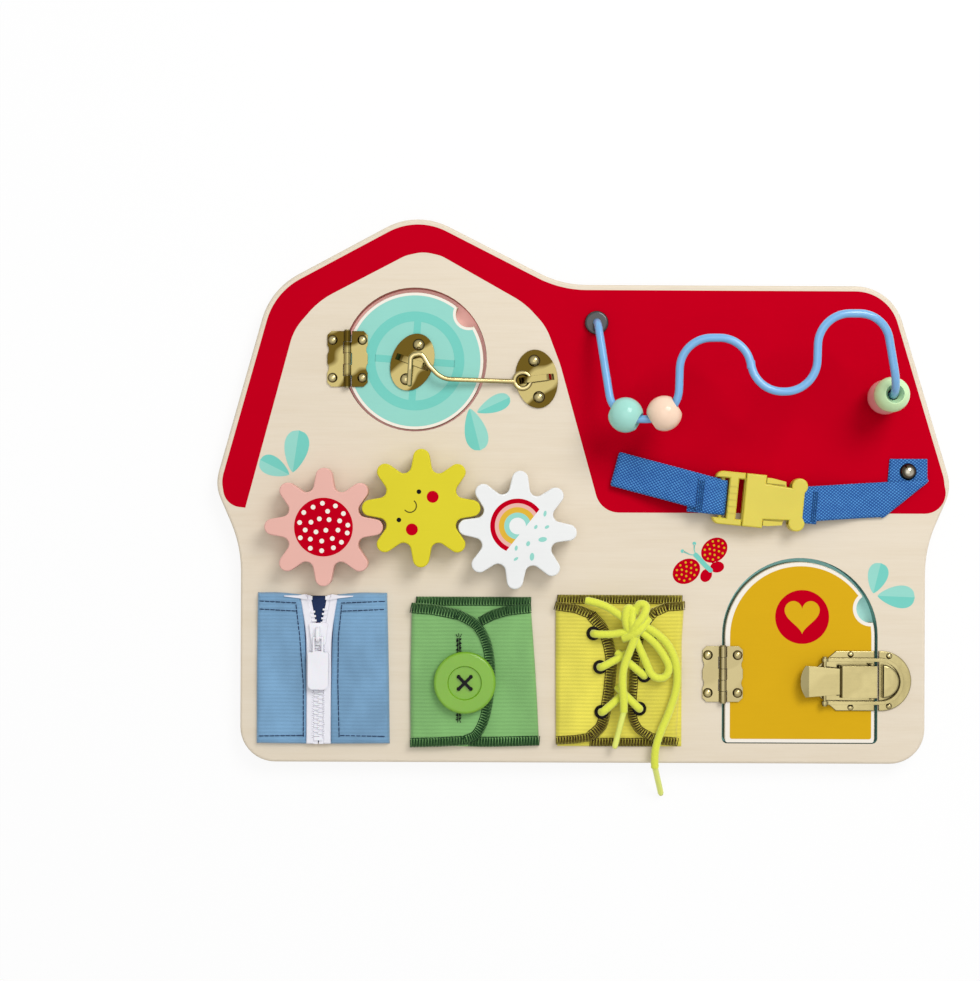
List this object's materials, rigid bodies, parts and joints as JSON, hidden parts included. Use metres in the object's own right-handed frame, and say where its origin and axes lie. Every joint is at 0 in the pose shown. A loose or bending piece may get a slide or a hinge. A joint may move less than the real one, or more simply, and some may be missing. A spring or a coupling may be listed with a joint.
{
  "type": "wooden busy board",
  "caption": "House-shaped wooden activity board with hinged doors, meshing gears, a bead maze, a strap with buckle, a cabin hook, a draw latch, and zip, button and lace patches.",
  "frame": {"origin": "centre of the house outline on the back face", "axes": "+X to the right eave, +Y to the gable, +Z out of the front face"},
  "size_m": [0.4001, 0.3161, 0.0631],
  "materials": {
    "plywood": "satin",
    "brass": "satin",
    "pale_brass": "bright plating",
    "nickel": "polished",
    "steel": "satin",
    "blue_wire": "gloss",
    "black_plastic": "gloss",
    "teal_paint": "gloss paint",
    "peach_paint": "gloss paint",
    "green_paint": "gloss paint",
    "pink_paint": "satin paint",
    "yellow_paint": "satin paint",
    "white_paint": "satin paint",
    "blue_webbing": "woven",
    "yellow_plastic": "satin",
    "blue_cloth": "ribbed knit",
    "white_tape": "woven",
    "white_plastic": "satin",
    "green_cloth": "ribbed knit",
    "green_plastic": "satin",
    "black_thread": "spun",
    "yellow_cloth": "ribbed knit",
    "black_metal": "satin",
    "yellow_lace": "braided",
    "lace_tip": "satin"
  },
  "bodies": {
    "board": {"back_panel": "plywood", "front_panel": "plywood", "window_hinge_board_leaf": "brass", "window_hinge_pin": "brass", "barn_hinge_board_leaf": "brass", "barn_hinge_pin": "brass", "board_rivets": "nickel", "strap_screws": "nickel", "hook_plate": "brass", "gear_spacers": "plywood", "maze_wire": "blue_wire", "maze_end_caps": "black_plastic", "strap_left": "blue_webbing", "strap_right": "blue_webbing", "buckle_socket": "yellow_plastic", "latch_strike": "pale_brass", "zip_sleeve": "blue_cloth", "zip_tapes": "white_tape", "zip_teeth": "white_plastic", "zip_stops": "white_plastic", "button_sleeve": "green_cloth", "lace_sleeve": "yellow_cloth", "lace_eyelets": "black_metal", "lace": "yellow_lace", "lace_end_long": "yellow_lace", "lace_end_short": "yellow_lace", "lace_tips": "lace_tip"},
    "window": {"window_door": "plywood", "window_hinge_door_leaf": "brass", "catch_plate": "brass", "window_rivets": "nickel"},
    "hook": {"hook": "pale_brass"},
    "barn_door": {"barn_door": "plywood", "barn_hinge_door_leaf": "brass", "latch_base": "pale_brass", "latch_pivot_pin": "pale_brass", "barn_door_rivets": "nickel"},
    "latch_lever": {"latch_lever": "pale_brass", "latch_bail_pin": "pale_brass"},
    "latch_bail": {"latch_bail": "pale_brass"},
    "gear_left": {"gear_left": "pink_paint", "gear_axle_left": "plywood", "gear_retainer_left": "steel"},
    "gear_middle": {"gear_middle": "yellow_paint", "gear_axle_middle": "plywood", "gear_retainer_middle": "steel"},
    "gear_right": {"gear_right": "white_paint", "gear_axle_right": "plywood", "gear_retainer_right": "steel"},
    "bead_teal": {"bead_teal": "teal_paint"},
    "bead_peach": {"bead_peach": "peach_paint"},
    "bead_green": {"bead_green": "green_paint"},
    "bead_pink": {"bead_pink": "pink_paint"},
    "zip_slider": {"zip_slider": "white_plastic"},
    "zip_pull": {"zip_pull": "white_plastic"},
    "button": {"button": "green_plastic", "button_thread": "black_thread"},
    "buckle_plug": {"buckle_plug": "yellow_plastic", "buckle_prongs": "yellow_plastic"}
  },
  "joints": [
    {"name": "window_hinge", "type": "hinge", "parent": "board", "child": "window", "pos_m": [-0.129, 0.0718, 0.0143], "axis": [0, -1, 0], "range_deg": [0, 70]},
    {"name": "hook_swing", "type": "hinge", "parent": "board", "child": "hook", "pos_m": [-0.02927, 0.06084, 0.01475], "axis": [-0.1323, 0.9912, 0], "range_deg": [0, 140]},
    {"name": "barn_hinge", "type": "hinge", "parent": "board", "child": "barn_door", "pos_m": [0.0763, -0.0993, 0.0143], "axis": [0, -1, 0], "range_deg": [0, 120]},
    {"name": "latch_lever_pivot", "type": "hinge", "parent": "barn_door", "child": "latch_lever", "pos_m": [0.157, -0.1028, 0.0166], "axis": [0, 1, 0], "range_deg": [0, 105]},
    {"name": "latch_bail_pivot", "type": "hinge", "parent": "latch_lever", "child": "latch_bail", "pos_m": [0.1315, -0.1028, 0.0155], "axis": [0, 1, 0], "range_deg": [-105, 0]},
    {"name": "gear_middle_spin", "type": "hinge", "parent": "board", "child": "gear_middle", "pos_m": [-0.088, -0.0093, 0.018], "axis": [0, 0, 1], "continuous": true},
    {"name": "gear_left_spin", "type": "hinge", "parent": "board", "child": "gear_left", "pos_m": [-0.1404, -0.0197, 0.018], "axis": [0, 0, 1], "continuous": true},
    {"name": "gear_right_spin", "type": "hinge", "parent": "board", "child": "gear_right", "pos_m": [-0.0361, -0.0209, 0.018], "axis": [0, 0, 1], "continuous": true},
    {"name": "bead_teal_travel", "type": "hinge", "parent": "board", "child": "bead_teal", "pos_m": [0.02856, 0.0541, 0.03572], "axis": [-0.098, 0.2885, 0.9524], "range_deg": [-50, 0]},
    {"name": "bead_peach_travel", "type": "hinge", "parent": "board", "child": "bead_peach", "pos_m": [0.03203, 0.05455, 0.04369], "axis": [-0.1008, -0.1732, 0.9797], "range_deg": [0, 52]},
    {"name": "bead_green_travel", "type": "hinge", "parent": "board", "child": "bead_green", "pos_m": [0.15858, 0.06713, 0.03996], "axis": [-0.9769, -0.2139, 0], "range_deg": [0, 60]},
    {"name": "bead_pink_lift", "type": "slide", "parent": "board", "child": "bead_pink", "axis": [0, 0, 1], "range_m": [0, 0.0125]},
    {"name": "zip_slide", "type": "slide", "parent": "board", "child": "zip_slider", "axis": [0, -1, 0], "range_m": [0, 0.048], "deforming": ["zip_teeth", "zip_tapes"]},
    {"name": "zip_pull_hinge", "type": "hinge", "parent": "zip_slider", "child": "zip_pull", "pos_m": [-0.1439, -0.08, 0.0181], "axis": [-1, 0, 0], "range_deg": [0, 160]},
    {"name": "button_turn", "type": "hinge", "parent": "board", "child": "button", "pos_m": [-0.0676, -0.1039, 0.017], "axis": [0, 0, 1], "range_deg": [-15, 15]},
    {"name": "buckle_release", "type": "slide", "parent": "board", "child": "buckle_plug", "axis": [-0.9954, 0.0958, 0], "range_m": [0, 0.026], "deforming": ["strap_left", "buckle_prongs"]}
  ],
  "couplings": [
    {"joint": "hook_swing", "follows": "window_hinge", "ratio": 2},
    {"joint": "latch_bail_pivot", "follows": "latch_lever_pivot", "ratio": -1},
    {"joint": "gear_left_spin", "follows": "gear_middle_spin", "ratio": -1},
    {"joint": "gear_right_spin", "follows": "gear_middle_spin", "ratio": -1},
    {"joint": "bead_pink_lift", "follows": "bead_green_travel", "m_per_rad": 0.0115}
  ]
}
